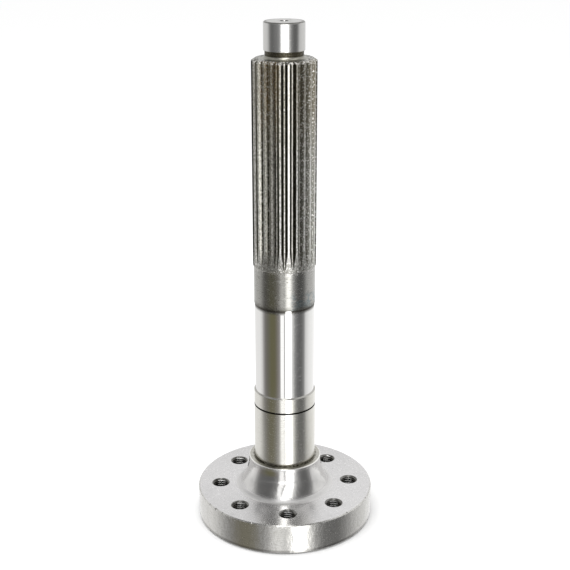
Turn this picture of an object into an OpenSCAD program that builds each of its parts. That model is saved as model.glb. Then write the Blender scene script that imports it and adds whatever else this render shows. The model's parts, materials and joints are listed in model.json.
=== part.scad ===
// Clutch shaft: one steel forging, turned, splined, drilled and ground.
// The axis is Z. The flange's mounting face lies on Z = 0, with its centre at the origin.

/* [Flange] */
// Diameter of the flange
flange_d = 145; // [138:0.5:180]
// Thickness of the flange
flange_thickness = 26; // [18:0.5:40]
// Chamfer round the flange's upper edge
flange_top_chamfer = 0.8; // [0.3:0.1:2]
// Chamfer round the flange's mounting edge
flange_foot_chamfer = 1.5; // [0.5:0.1:4]

/* [Bolt holes] */
// Number of tapped holes
bolt_count = 8; // [4:1:12]
// Diameter of the bolt circle
bolt_circle_d = 108; // [102:0.5:118]
// Tap drill diameter, for a 14 mm thread
tap_drill_d = 12; // [8:0.1:13]
// Countersink diameter at both ends of a hole
countersink_d = 14.6; // [13.5:0.1:18]
// Angle of the first hole from the front, seen from above
bolt_clocking = 2.5; // [-22:0.5:22]

/* [Neck] */
// Diameter of the shoulder that the bearing stands on
neck_d = 59.5; // [53:0.5:62]
// Height of the shoulder above the flange
neck_height = 26.5; // [20:0.5:30]
// Straight land below the shoulder
neck_land = 1.5; // [1:0.1:4]
// Radius of the flare from the neck to the flange
bell_radius = 41.5; // [33:0.5:45]
// Fillet where the flare runs out on the flange
foot_fillet = 6; // [1:0.5:8]
// Edge chamfer of the shoulder
shoulder_chamfer = 0.6; // [0.2:0.1:1]

/* [Bearing seat] */
// Diameter of the ground bearing seat
seat_d = 50; // [49.95:0.05:52]
// Length of the seat from the shoulder to its lead-in
seat_length = 61; // [52:0.5:80]
// Width of the grinding undercut at the shoulder
undercut_width = 2; // [1:0.1:4]
// Depth of the grinding undercut
undercut_depth = 0.4; // [0.2:0.1:1]
// Height of the retaining ring groove above the shoulder
ring_groove_height = 47.5; // [20:0.5:49]
// Width of the retaining ring groove
ring_groove_width = 1.5; // [1:0.1:3]
// Depth of the retaining ring groove
ring_groove_depth = 1.2; // [0.5:0.1:2]

/* [Journal and collar] */
// Diameter of the polished journal above the seat
journal_d = 47.8; // [44:0.1:48.5]
// Length of the polished journal
journal_length = 74.5; // [40:0.5:110]
// Diameter of the plain collar under the spline
collar_d = 48.6; // [48.5:0.1:49.8]
// Length of the plain collar
collar_length = 32; // [15:0.5:60]
// Edge chamfer of the collar
collar_chamfer = 0.4; // [0.1:0.1:1]

/* [Spline] */
// Number of teeth
teeth = 24; // [24:1:25]
// Module of the involute
gear_module = 2; // [1.95:0.01:2.02]
// Pressure angle of the involute
pressure_angle = 30; // [28:0.5:32]
// Tooth thickness on the pitch circle
tooth_thickness = 3.026; // [2.6:0.01:3.3]
// Diameter over the tooth tips
tip_d = 49.9; // [49.85:0.05:49.95]
// Diameter at the tooth roots
root_d = 45.2; // [44:0.1:46.5]
// Length of the splined part
spline_length = 161; // [80:0.5:240]
// Length of the chamfer at the upper end of the teeth
spline_chamfer = 1.8; // [1:0.1:5]
// Depth of the chamfer at the upper end of the teeth
spline_chamfer_depth = 2.75; // [1:0.05:4]
// Radius of the milling cutter that runs out at the lower end
cutter_radius = 70; // [40:1:75]
// Distance from the lower end of the spline to its full depth
runout_length = 20; // [19:0.5:40]

/* [Pilot] */
// Diameter of the relief groove between spline and pilot
relief_d = 29.5; // [24:0.1:30.5]
// Width of the relief groove
relief_width = 5.5; // [3.5:0.1:8]
// Fillet between the relief groove and the end face of the spline
relief_fillet = 2; // [0.5:0.1:3]
// Diameter of the ground pilot journal
pilot_d = 31.5; // [31:0.1:38]
// Length of the pilot journal
pilot_length = 21.5; // [12:0.5:40]
// Chamfer at the end of the pilot
pilot_chamfer = 0.9; // [0.3:0.1:3]
// Chamfer at the relief side of the pilot
pilot_back_chamfer = 0.5; // [0.1:0.1:0.7]

/* [Centre holes] */
// Drill diameter of the centre hole in each end
centre_drill_d = 3.15; // [2:0.05:5]
// Countersink diameter of the centre hole
centre_countersink_d = 6.7; // [5.5:0.1:10]
// Cone angle of the centre hole
centre_angle = 60; // [60:15:90]
// Depth of the centre drill
centre_depth = 8; // [7:0.5:14]
// Point angle of the centre drill
drill_point_angle = 118; // [90:1:140]

/* [Hidden] */
$fn = 120;

front_angle = -90;
steel_colour = [0.72, 0.71, 0.69];
// Overlap that carries each cutting tool clear of the surface it enters
cut_over = 1;
// Straight steps that make up an arc of the turned outline, and a tooth flank
arc_steps = 12;
flank_steps = 4;
// Turn of the milling cutter through its run-out
runout_sweep = 30;

flange_r = flange_d / 2;
neck_r = neck_d / 2;
seat_r = seat_d / 2;
journal_r = journal_d / 2;
collar_r = collar_d / 2;
tip_r = tip_d / 2;
root_r = root_d / 2;
relief_r = relief_d / 2;
pilot_r = pilot_d / 2;

// Heights of the turned steps above the mounting face
shoulder_z = flange_thickness + neck_height;
ring_groove_z = shoulder_z + ring_groove_height;
journal_z = shoulder_z + seat_length;
collar_z = journal_z + journal_length;
spline_z = collar_z + collar_length;
spline_top_z = spline_z + spline_length;
pilot_z = spline_top_z + relief_width;
overall_length = pilot_z + pilot_length;
full_depth_z = spline_z + runout_length;

// Centres of the bell flare and of the fillet that blends it into the flange
bell_centre = [neck_r + bell_radius, shoulder_z - neck_land];
fillet_z = flange_thickness + foot_fillet;
fillet_reach = sqrt(pow(bell_radius - foot_fillet, 2) - pow(bell_centre[1] - fillet_z, 2));
fillet_centre = [bell_centre[0] - fillet_reach, fillet_z];
blend_angle = 180 + atan2(bell_centre[1] - fillet_z, fillet_reach);

// Involute of the spline teeth
pitch_r = gear_module * teeth / 2;
base_r = pitch_r * cos(pressure_angle);

function arc(centre, radius, from, to) = [
    for (i = [0 : arc_steps])
        let (a = from + (to - from) * i / arc_steps)
        centre + radius * [cos(a), sin(a)]
];

function involute(angle) = tan(angle) * 180 / PI - angle;

function half_tooth(r) =
    tooth_thickness / (2 * pitch_r) * 180 / PI
    + involute(pressure_angle)
    - involute(acos(base_r / r));

function flank_point(r, side) =
    let (a = 180 / teeth - half_tooth(r))
    r * [cos(a), side * sin(a)];

function flank_radius(i) = root_r + (tip_r + cut_over - root_r) * i / flank_steps;

function flange_outline() = [
    [0, 0],
    [flange_r - flange_foot_chamfer, 0],
    [flange_r, flange_foot_chamfer],
    [flange_r, flange_thickness - flange_top_chamfer],
    [flange_r - flange_top_chamfer, flange_thickness]
];

function neck_outline() = concat(
    arc(fillet_centre, foot_fillet, 270, blend_angle),
    arc(bell_centre, bell_radius, blend_angle, 180),
    [
        [neck_r, shoulder_z - shoulder_chamfer],
        [neck_r - shoulder_chamfer, shoulder_z]
    ]
);

function seat_outline() = [
    [seat_r - undercut_depth, shoulder_z],
    [seat_r - undercut_depth, shoulder_z + undercut_width - undercut_depth],
    [seat_r, shoulder_z + undercut_width],
    [seat_r, ring_groove_z - ring_groove_width / 2],
    [seat_r - ring_groove_depth, ring_groove_z - ring_groove_width / 2],
    [seat_r - ring_groove_depth, ring_groove_z + ring_groove_width / 2],
    [seat_r, ring_groove_z + ring_groove_width / 2],
    [seat_r, journal_z - (seat_r - journal_r)],
    [journal_r, journal_z]
];

function collar_outline() = [
    [journal_r, collar_z],
    [collar_r - collar_chamfer, collar_z],
    [collar_r, collar_z + collar_chamfer],
    [collar_r, spline_z - (tip_r - collar_r)]
];

function spline_outline() = [
    [tip_r, spline_z],
    [tip_r, spline_top_z - spline_chamfer],
    [tip_r - spline_chamfer_depth, spline_top_z]
];

function relief_outline() = concat(
    arc([relief_r + relief_fillet, spline_top_z + relief_fillet], relief_fillet, 270, 180),
    [[relief_r, pilot_z]]
);

function pilot_outline() = [
    [pilot_r - pilot_back_chamfer, pilot_z],
    [pilot_r, pilot_z + pilot_back_chamfer],
    [pilot_r, overall_length - pilot_chamfer],
    [pilot_r - pilot_chamfer, overall_length],
    [0, overall_length]
];

module turned_blank() {
    rotate_extrude()
        polygon(concat(
            flange_outline(),
            neck_outline(),
            seat_outline(),
            collar_outline(),
            spline_outline(),
            relief_outline(),
            pilot_outline()
        ));
}

// Section of one gap between two teeth, with its middle on X
module gap_outline() {
    polygon(concat(
        [for (i = [0 : flank_steps]) flank_point(flank_radius(i), -1)],
        [for (i = [flank_steps : -1 : 0]) flank_point(flank_radius(i), 1)]
    ));
}

// Path of the cutter through one gap: straight to the upper end, and out on its own radius below
module gap_cutter() {
    cutter_axis = root_r + cutter_radius;
    translate([0, 0, full_depth_z])
        linear_extrude(spline_top_z - full_depth_z + cut_over)
            gap_outline();
    translate([cutter_axis, 0, full_depth_z])
        rotate([-90, 0, 180])
            rotate_extrude(angle = runout_sweep)
                translate([cutter_axis, 0])
                    mirror([1, 0])
                        gap_outline();
}

module tapped_hole() {
    drill_r = tap_drill_d / 2;
    mouth = countersink_d / 2 - drill_r;
    rotate_extrude()
        polygon([
            [0, -cut_over],
            [drill_r + mouth + cut_over, -cut_over],
            [drill_r, mouth],
            [drill_r, flange_thickness - mouth],
            [drill_r + mouth + cut_over, flange_thickness + cut_over],
            [0, flange_thickness + cut_over]
        ]);
}

// Centre hole with its mouth on Z = 0, drilled towards +Z
module centre_hole() {
    drill_r = centre_drill_d / 2;
    mouth_r = centre_countersink_d / 2;
    slope = tan(centre_angle / 2);
    rotate_extrude()
        polygon([
            [0, -cut_over],
            [mouth_r + cut_over * slope, -cut_over],
            [drill_r, (mouth_r - drill_r) / slope],
            [drill_r, centre_depth],
            [0, centre_depth + drill_r / tan(drill_point_angle / 2)]
        ]);
}

module clutch_shaft() {
    color(steel_colour)
        difference() {
            turned_blank();
            for (i = [0 : teeth - 1])
                rotate([0, 0, front_angle + 360 / teeth * i])
                    gap_cutter();
            for (i = [0 : bolt_count - 1])
                rotate([0, 0, front_angle + bolt_clocking + 360 / bolt_count * i])
                    translate([bolt_circle_d / 2, 0, 0])
                        tapped_hole();
            centre_hole();
            translate([0, 0, overall_length])
                mirror([0, 0, 1])
                    centre_hole();
        }
}

clutch_shaft();
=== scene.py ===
"""Looks of the clutch shaft: one steel piece, turned, splined, tapped and ground, on a plain white floor."""

import json
import math

import bmesh
import bpy
from mathutils import Matrix, Vector


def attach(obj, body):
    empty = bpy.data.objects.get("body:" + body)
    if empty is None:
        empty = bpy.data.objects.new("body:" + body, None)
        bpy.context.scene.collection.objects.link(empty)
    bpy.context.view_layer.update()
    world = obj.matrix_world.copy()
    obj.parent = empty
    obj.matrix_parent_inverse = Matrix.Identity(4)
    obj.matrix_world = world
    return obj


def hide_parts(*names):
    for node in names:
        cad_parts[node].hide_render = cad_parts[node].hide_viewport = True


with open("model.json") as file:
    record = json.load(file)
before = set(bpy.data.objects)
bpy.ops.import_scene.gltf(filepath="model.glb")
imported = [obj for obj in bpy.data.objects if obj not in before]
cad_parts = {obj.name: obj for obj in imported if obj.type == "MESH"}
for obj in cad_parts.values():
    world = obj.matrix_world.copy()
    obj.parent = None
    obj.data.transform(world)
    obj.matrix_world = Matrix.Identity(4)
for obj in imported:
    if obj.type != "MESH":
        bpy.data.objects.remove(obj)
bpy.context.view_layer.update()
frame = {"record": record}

# Sizes of the shaft, in metres from the mounting face up
MM = 0.001
FLANGE_R = 72.45 * MM
FLANGE_T = 26 * MM
FLANGE_TOP_CHAMFER = 0.8 * MM
FLANGE_FOOT_CHAMFER = 1.5 * MM
NECK_R = 29.75 * MM
SHOULDER_Z = 52.5 * MM
NECK_LAND = 1.5 * MM
BELL_R = 41.5 * MM
FOOT_FILLET = 6 * MM
SHOULDER_CHAMFER = 0.6 * MM
SEAT_R = 25 * MM
UNDERCUT_W = 2 * MM
UNDERCUT_DEPTH = 0.4 * MM
RING_GROOVE_Z = 100 * MM
RING_GROOVE_W = 1.5 * MM
RING_GROOVE_DEPTH = 1.2 * MM
JOURNAL_R = 23.9 * MM
JOURNAL_Z = 113.5 * MM
COLLAR_R = 24.3 * MM
COLLAR_Z = 188 * MM
COLLAR_CHAMFER = 0.4 * MM
TIP_R = 24.95 * MM
ROOT_R = 22.6 * MM
SPLINE_Z = 220 * MM
SPLINE_TOP_Z = 381 * MM
SPLINE_CHAMFER = 1.8 * MM
SPLINE_CHAMFER_DEPTH = 2.75 * MM
FULL_DEPTH_Z = 240 * MM
CUTTER_R = 70 * MM
RELIEF_R = 14.75 * MM
RELIEF_FILLET = 2 * MM
PILOT_R = 15.75 * MM
PILOT_Z = 386.5 * MM
PILOT_CHAMFER = 0.9 * MM
PILOT_BACK_CHAMFER = 0.5 * MM
TOTAL_LENGTH = 408 * MM
CENTRE_DRILL_R = 1.575 * MM
CENTRE_MOUTH_R = 3.35 * MM
CENTRE_CONE = 3.07 * MM
CENTRE_DEPTH = 8 * MM
CENTRE_POINT = 0.95 * MM

# Involute spline
TEETH = 24
PITCH_R = 24 * MM
PRESSURE_ANGLE = math.radians(30)
TOOTH_THICKNESS = 3.026 * MM
TIP_BREAK = 0.25 * MM
RUNOUT_SWEEP = math.radians(25)

# Tapped holes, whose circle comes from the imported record
BOLTS = next(m for m in frame["record"]["mounts"] if m["name"] == "flange_bolts")["dims"]
BOLT_COUNT = BOLTS["count"]
BOLT_CIRCLE_R = BOLTS["pcd_mm"] / 2 * MM
TAP_DRILL_R = BOLTS["hole_r_mm"] * MM
THREAD_R = 7 * MM
THREAD_PITCH = 2 * MM
THREAD_ROOT_FLAT = 0.25 * MM
THREAD_FLANK_ANGLE = math.radians(30)
COUNTERSINK_R = 7.3 * MM
BOLT_CLOCKING = math.radians(2.5)
FRONT = math.radians(-90)

# What tells faces apart: how far a face may lie from where it should, how much of its normal points up
# in the cones and flanks of a tapped hole and on the end face, and how much points aside on a bright flank
NEAR = 0.02 * MM
NEAR_CONE = 0.1 * MM
CONE_RISE = 0.6
FLANK_RISE = 0.5
BRIGHT_FLANK_ASIDE = 0.24
FACING_UP = 0.9

# How far round the wear on the teeth has moved, in tooth pitches
WEAR_SHIFT = 0.005

# Knocks in the flange's upper edge: degrees to the right of the front, radius and depth
EDGE_NICKS = [
    (-57.5, 2.2, 0.35), (-50.5, 3.0, 0.5), (-44.0, 1.6, 0.25), (-21.0, 2.4, 0.2), (43.5, 2.6, 0.45),
    (67.0, 1.8, 0.3), (118.0, 2.4, 0.35), (-128.0, 2.8, 0.4), (171.0, 2.0, 0.3),
]

# Mesh density
LATHE_STEPS = 240
ARC_STEPS = 16
FLANK_STEPS = 5
RUNOUT_STEPS = 24
THREAD_STEPS = 48
SHARP_ANGLE = math.radians(11)
ARC_SUPPORT = 0.3 * MM
WELD = 1e-7
CUT_OVER = 1 * MM


def add_point(bm, last, r, z):
    """One more corner of the turned outline, joined to the last one."""
    corner = bm.verts.new((r, 0, z))
    if last is not None:
        bm.edges.new((last, corner))
    return corner


def add_arc(bm, last, centre_r, centre_z, angle):
    """Carries the outline on round a centre, by turning its last corner about it."""
    turned = bmesh.ops.spin(
        bm, geom=[last], cent=(centre_r, 0, centre_z), axis=(0, 1, 0), angle=angle, steps=ARC_STEPS
    )
    return turned["geom_last"][0]


def turned_blank():
    """The whole shaft as it leaves the lathe: one outline, turned about Z."""
    bell_r = NECK_R + BELL_R
    bell_z = SHOULDER_Z - NECK_LAND
    fillet_z = FLANGE_T + FOOT_FILLET
    reach = math.sqrt((BELL_R - FOOT_FILLET) ** 2 - (bell_z - fillet_z) ** 2)
    fillet_r = bell_r - reach
    bell_angle = math.atan2(bell_z - fillet_z, reach)
    relief_corner = RELIEF_R + RELIEF_FILLET
    groove_low = RING_GROOVE_Z - RING_GROOVE_W / 2
    groove_high = RING_GROOVE_Z + RING_GROOVE_W / 2
    mounting_end = [
        (0, CENTRE_DEPTH + CENTRE_POINT),
        (CENTRE_DRILL_R, CENTRE_DEPTH),
        (CENTRE_DRILL_R, CENTRE_CONE),
        (CENTRE_MOUTH_R, 0),
        (FLANGE_R - FLANGE_FOOT_CHAMFER, 0),
        (FLANGE_R, FLANGE_FOOT_CHAMFER),
        (FLANGE_R, FLANGE_T - FLANGE_TOP_CHAMFER),
        (FLANGE_R - FLANGE_TOP_CHAMFER, FLANGE_T),
        (fillet_r + ARC_SUPPORT, FLANGE_T),
        (fillet_r, FLANGE_T),
    ]
    neck_to_spline = [
        (NECK_R, SHOULDER_Z - SHOULDER_CHAMFER),
        (NECK_R - SHOULDER_CHAMFER, SHOULDER_Z),
        (SEAT_R - UNDERCUT_DEPTH, SHOULDER_Z),
        (SEAT_R - UNDERCUT_DEPTH, SHOULDER_Z + UNDERCUT_W - UNDERCUT_DEPTH),
        (SEAT_R, SHOULDER_Z + UNDERCUT_W),
        (SEAT_R, groove_low),
        (SEAT_R - RING_GROOVE_DEPTH, groove_low),
        (SEAT_R - RING_GROOVE_DEPTH, groove_high),
        (SEAT_R, groove_high),
        (SEAT_R, JOURNAL_Z - (SEAT_R - JOURNAL_R)),
        (JOURNAL_R, JOURNAL_Z),
        (JOURNAL_R, COLLAR_Z),
        (COLLAR_R - COLLAR_CHAMFER, COLLAR_Z),
        (COLLAR_R, COLLAR_Z + COLLAR_CHAMFER),
        (COLLAR_R, SPLINE_Z - (TIP_R - COLLAR_R)),
        (TIP_R, SPLINE_Z),
        (TIP_R, SPLINE_TOP_Z - SPLINE_CHAMFER),
        (TIP_R - SPLINE_CHAMFER_DEPTH, SPLINE_TOP_Z),
        (relief_corner + ARC_SUPPORT, SPLINE_TOP_Z),
        (relief_corner, SPLINE_TOP_Z),
    ]
    pilot_end = [
        (RELIEF_R, PILOT_Z),
        (PILOT_R - PILOT_BACK_CHAMFER, PILOT_Z),
        (PILOT_R, PILOT_Z + PILOT_BACK_CHAMFER),
        (PILOT_R, TOTAL_LENGTH - PILOT_CHAMFER),
        (PILOT_R - PILOT_CHAMFER, TOTAL_LENGTH),
        (CENTRE_MOUTH_R, TOTAL_LENGTH),
        (CENTRE_DRILL_R, TOTAL_LENGTH - CENTRE_CONE),
        (CENTRE_DRILL_R, TOTAL_LENGTH - CENTRE_DEPTH),
        (0, TOTAL_LENGTH - CENTRE_DEPTH - CENTRE_POINT),
    ]
    bm = bmesh.new()
    last = None
    for r, z in mounting_end:
        last = add_point(bm, last, r, z)
    last = add_arc(bm, last, fillet_r, fillet_z, math.pi / 2 - bell_angle)
    last = add_arc(bm, last, bell_r, bell_z, bell_angle)
    for r, z in neck_to_spline:
        last = add_point(bm, last, r, z)
    last = add_arc(bm, last, relief_corner, SPLINE_TOP_Z + RELIEF_FILLET, math.pi / 2)
    for r, z in pilot_end:
        last = add_point(bm, last, r, z)
    bmesh.ops.spin(
        bm, geom=bm.verts[:] + bm.edges[:], cent=(0, 0, 0), axis=(0, 0, 1),
        angle=math.tau, steps=LATHE_STEPS, use_merge=True,
    )
    bmesh.ops.remove_doubles(bm, verts=bm.verts[:], dist=WELD)
    bmesh.ops.recalc_face_normals(bm, faces=bm.faces[:])
    return bm


def half_gap(r):
    """Half the angle of a spline gap at a radius, from the involute."""
    base_r = PITCH_R * math.cos(PRESSURE_ANGLE)
    roll = math.acos(base_r / r)
    opening = (math.tan(PRESSURE_ANGLE) - PRESSURE_ANGLE) - (math.tan(roll) - roll)
    return math.pi / TEETH - (TOOTH_THICKNESS / 2 / PITCH_R + opening)


def spline_cutter():
    """Every gap of the spline: a flared gap outline, run out on the cutter's radius and drawn straight up."""
    radii = [ROOT_R + (TIP_R - TIP_BREAK - ROOT_R) * i / FLANK_STEPS for i in range(FLANK_STEPS + 1)]
    side = [(r * math.cos(half_gap(r)), r * math.sin(half_gap(r))) for r in radii]
    tip_x, tip_y = side[-1]
    side.append((tip_x + TIP_BREAK + CUT_OVER / 2, tip_y + TIP_BREAK + CUT_OVER / 2))
    outline = [(x, -y) for x, y in side] + side[::-1]
    bm = bmesh.new()
    gap = bm.faces.new([bm.verts.new((x, y, FULL_DEPTH_Z)) for x, y in outline])
    bmesh.ops.spin(
        bm, geom=[gap], cent=(ROOT_R + CUTTER_R, 0, FULL_DEPTH_Z), axis=(0, 1, 0),
        angle=-RUNOUT_SWEEP, steps=RUNOUT_STEPS,
    )
    top = next(f for f in bm.faces if all(abs(v.co.z - FULL_DEPTH_Z) < WELD for v in f.verts))
    drawn = bmesh.ops.extrude_face_region(bm, geom=[top])
    bmesh.ops.delete(bm, geom=[top], context="FACES_ONLY")
    raised = [g for g in drawn["geom"] if isinstance(g, bmesh.types.BMVert)]
    bmesh.ops.translate(bm, verts=raised, vec=(0, 0, SPLINE_TOP_Z + CUT_OVER - FULL_DEPTH_Z))
    bmesh.ops.rotate(bm, verts=bm.verts[:], cent=(0, 0, 0), matrix=Matrix.Rotation(FRONT, 3, "Z"))
    repeat_round(bm, TEETH)
    return bm


def repeat_round(bm, count):
    """Copies what is there evenly about the shaft's axis."""
    bmesh.ops.spin(
        bm, geom=bm.verts[:] + bm.edges[:] + bm.faces[:], cent=(0, 0, 0), axis=(0, 0, 1),
        angle=math.tau * (count - 1) / count, steps=count - 1, use_duplicate=True,
    )
    bmesh.ops.recalc_face_normals(bm, faces=bm.faces[:])


def place_on_bolt_circle(bm):
    """Moves a hole's tool from the axis to the first hole, and repeats it for the others."""
    bmesh.ops.translate(bm, verts=bm.verts[:], vec=(BOLT_CIRCLE_R, 0, 0))
    turn = Matrix.Rotation(FRONT + BOLT_CLOCKING, 3, "Z")
    bmesh.ops.rotate(bm, verts=bm.verts[:], cent=(0, 0, 0), matrix=turn)
    repeat_round(bm, BOLT_COUNT)


def thread_cutter():
    """The taps: a thread outline wound up its own pitch, cut flat clear of both faces and closed."""
    flank = (THREAD_R - TAP_DRILL_R) * math.tan(THREAD_FLANK_ANGLE)
    crest = THREAD_PITCH - THREAD_ROOT_FLAT - 2 * flank
    turns = math.ceil(FLANGE_T / THREAD_PITCH) + 4
    bm = bmesh.new()
    last = None
    z = -2 * THREAD_PITCH
    for _ in range(turns):
        for r, step in ((TAP_DRILL_R, crest), (TAP_DRILL_R, flank),
                        (THREAD_R, THREAD_ROOT_FLAT), (THREAD_R, flank)):
            last = add_point(bm, last, r, z)
            z += step
    bmesh.ops.spin(
        bm, geom=bm.verts[:] + bm.edges[:], cent=(0, 0, 0), axis=(0, 0, 1), angle=math.tau,
        steps=THREAD_STEPS, dvec=(0, 0, THREAD_PITCH / THREAD_STEPS),
    )
    bmesh.ops.remove_doubles(bm, verts=bm.verts[:], dist=MM / 100)
    for plane_z, way in ((-CUT_OVER, -1), (FLANGE_T + CUT_OVER, 1)):
        cut = bmesh.ops.bisect_plane(
            bm, geom=bm.verts[:] + bm.edges[:] + bm.faces[:], dist=WELD,
            plane_co=(0, 0, plane_z), plane_no=(0, 0, way), clear_outer=True,
        )
        rim = [g for g in cut["geom_cut"] if isinstance(g, bmesh.types.BMEdge)]
        bmesh.ops.contextual_create(bm, geom=rim)
    bmesh.ops.recalc_face_normals(bm, faces=bm.faces[:])
    place_on_bolt_circle(bm)
    return bm


def countersink_cutter():
    """The cones that break both mouths of every tapped hole."""
    depth = COUNTERSINK_R - TAP_DRILL_R + 2 * CUT_OVER
    narrow = TAP_DRILL_R - CUT_OVER
    wide = COUNTERSINK_R + CUT_OVER
    bm = bmesh.new()
    for mouth_z, way in ((0, -1), (FLANGE_T, 1)):
        middle = mouth_z + way * (CUT_OVER - depth / 2)
        bmesh.ops.create_cone(
            bm, cap_ends=True, segments=2 * THREAD_STEPS, depth=depth,
            radius1=wide if way < 0 else narrow, radius2=narrow if way < 0 else wide,
            matrix=Matrix.Translation((0, 0, middle)),
        )
    place_on_bolt_circle(bm)
    return bm


def nick_cutter():
    """Small balls that knock the flange's upper edge in here and there."""
    edge_r = FLANGE_R - FLANGE_TOP_CHAMFER / 2
    edge_z = FLANGE_T - FLANGE_TOP_CHAMFER / 2
    bm = bmesh.new()
    for degrees, radius, depth in EDGE_NICKS:
        turn = FRONT + math.radians(degrees)
        out = (radius - depth) * MM * math.sqrt(0.5)
        middle = Vector(((edge_r + out) * math.cos(turn), (edge_r + out) * math.sin(turn), edge_z + out))
        bmesh.ops.create_icosphere(
            bm, subdivisions=3, radius=radius * MM, matrix=Matrix.Translation(middle)
        )
    return bm


def as_object(name, bm):
    """Hangs a finished bmesh in the scene as a mesh object at the origin."""
    mesh = bpy.data.meshes.new(name)
    bm.to_mesh(mesh)
    bm.free()
    made = bpy.data.objects.new(name, mesh)
    bpy.context.scene.collection.objects.link(made)
    return made


def cut_away(piece, tools):
    """Cuts the tools out of the piece, one after another, and clears them away."""
    for tool in tools:
        cut = piece.modifiers.new(tool.name, "BOOLEAN")
        cut.operation = "DIFFERENCE"
        cut.solver = "MANIFOLD"
        cut.object = tool
    finished = piece.evaluated_get(bpy.context.evaluated_depsgraph_get())
    mesh = bpy.data.meshes.new_from_object(finished)
    piece.modifiers.clear()
    piece.data = mesh
    for tool in tools:
        bpy.data.objects.remove(tool)


def from_bolt_axis(x, y):
    """Distance from the axis of the nearest tapped hole."""
    pitch = math.tau / BOLT_COUNT
    turn = math.atan2(y, x) - FRONT - BOLT_CLOCKING
    turn -= pitch * round(turn / pitch)
    r = math.hypot(x, y)
    return math.hypot(r * math.cos(turn) - BOLT_CIRCLE_R, r * math.sin(turn))


def finish_in_hole(face, hole, depth):
    """Name of the finish of a face in a tapped hole, from its distance to the hole's axis and its depth.

    Flanks that face front or back are bright and the others darker, as the photograph shows them.
    """
    rise = abs(face.normal.z)
    in_mouth = depth < COUNTERSINK_R - TAP_DRILL_R and hole > TAP_DRILL_R and rise > CONE_RISE
    if in_mouth and abs(depth + hole - COUNTERSINK_R) < NEAR_CONE:
        return "countersink"
    # Painted highlight on flanks that face front or back, painted shade on the flanks aside and on the lands.
    if rise < FLANK_RISE:
        return "thread_land_shade"
    return "thread_flank_highlight" if abs(face.normal.x) < BRIGHT_FLANK_ASIDE else "thread_side_shade"


def finish_of(face):
    """Name of the finish that a face of the shaft was left with."""
    x, y, z = face.calc_center_median()
    r = math.hypot(x, y)
    if z < FLANGE_T - NEAR or (z < FLANGE_T + NEAR and r > NECK_R):
        if r < CENTRE_MOUTH_R + NEAR and z > NEAR:
            return "centre_hole"
        hole = from_bolt_axis(x, y)
        if NEAR < z < FLANGE_T - NEAR and hole < COUNTERSINK_R + NEAR:
            return finish_in_hole(face, hole, min(z, FLANGE_T - z))
        if z < NEAR:
            return "mounting_face"
        return "flange_face" if z > FLANGE_T - NEAR else "flange_rim"
    if z < SHOULDER_Z - SHOULDER_CHAMFER - NEAR:
        return "neck"
    if z < SHOULDER_Z + NEAR:
        return "shoulder"
    if z < SHOULDER_Z + UNDERCUT_W:
        return "undercut"
    if z < JOURNAL_Z:
        return "ring_groove" if r < SEAT_R - NEAR and z < RING_GROOVE_Z + RING_GROOVE_W else "seat"
    if z < COLLAR_Z - NEAR:
        return "journal"
    if z < SPLINE_Z:
        return "collar"
    if z < SPLINE_TOP_Z - NEAR:
        return "spline"
    if z < PILOT_Z + NEAR:
        return "spline_end" if z < SPLINE_TOP_Z + RELIEF_FILLET else "relief"
    if r < CENTRE_MOUTH_R:
        return "centre_hole"
    return "end_face" if face.normal.z > FACING_UP else "pilot"


def dress(piece, finishes):
    """Gives every face the material of its finish, and keeps the edges between surfaces crisp."""
    order = list(finishes)
    piece.data.materials.clear()
    for name in order:
        piece.data.materials.append(finishes[name])
    bm = bmesh.new()
    bm.from_mesh(piece.data)
    bmesh.ops.remove_doubles(bm, verts=bm.verts[:], dist=WELD)
    bmesh.ops.dissolve_degenerate(bm, edges=bm.edges[:], dist=WELD)
    bm.normal_update()
    for face in bm.faces:
        face.smooth = True
        face.material_index = order.index(finish_of(face))
    for edge in bm.edges:
        edge.smooth = len(edge.link_faces) == 2 and edge.calc_face_angle() < SHARP_ANGLE
    bm.to_mesh(piece.data)
    bm.free()


def add_node(tree, kind, inputs=(), **settings):
    """A new node. Inputs are (socket, value or another node's output) pairs."""
    made = tree.nodes.new(kind)
    for name, value in settings.items():
        setattr(made, name, value)
    for socket, value in inputs:
        if isinstance(value, bpy.types.NodeSocket):
            tree.links.new(value, made.inputs[socket])
        else:
            made.inputs[socket].default_value = value
    return made


def math_node(tree, operation, *values):
    """Output of a Math node on up to three values or outputs."""
    return add_node(tree, "ShaderNodeMath", enumerate(values), operation=operation).outputs[0]


def ramp(tree, value, low, high, to_low=0.0, to_high=1.0):
    """Output of a smooth step from to_low, at low, to to_high, at high."""
    span = [(0, value), (1, low), (2, high), (3, to_low), (4, to_high)]
    if low > high:
        span = [(0, value), (1, high), (2, low), (3, to_high), (4, to_low)]
    return add_node(tree, "ShaderNodeMapRange", span, interpolation_type="SMOOTHSTEP").outputs[0]


def mix(tree, factor, a, b):
    """Output that goes from a to b with the factor, for two colours or two plain values."""
    plain = isinstance(a, float) or isinstance(b, float)
    made = add_node(tree, "ShaderNodeMix", data_type="FLOAT" if plain else "RGBA")
    kind = "Float" if plain else "Color"
    for name, value in (("Factor_Float", factor), ("A_" + kind, a), ("B_" + kind, b)):
        socket = next(s for s in made.inputs if s.identifier == name)
        if isinstance(value, bpy.types.NodeSocket):
            tree.links.new(value, socket)
        else:
            socket.default_value = value
    return next(s for s in made.outputs if s.identifier == "Result_" + kind)


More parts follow.
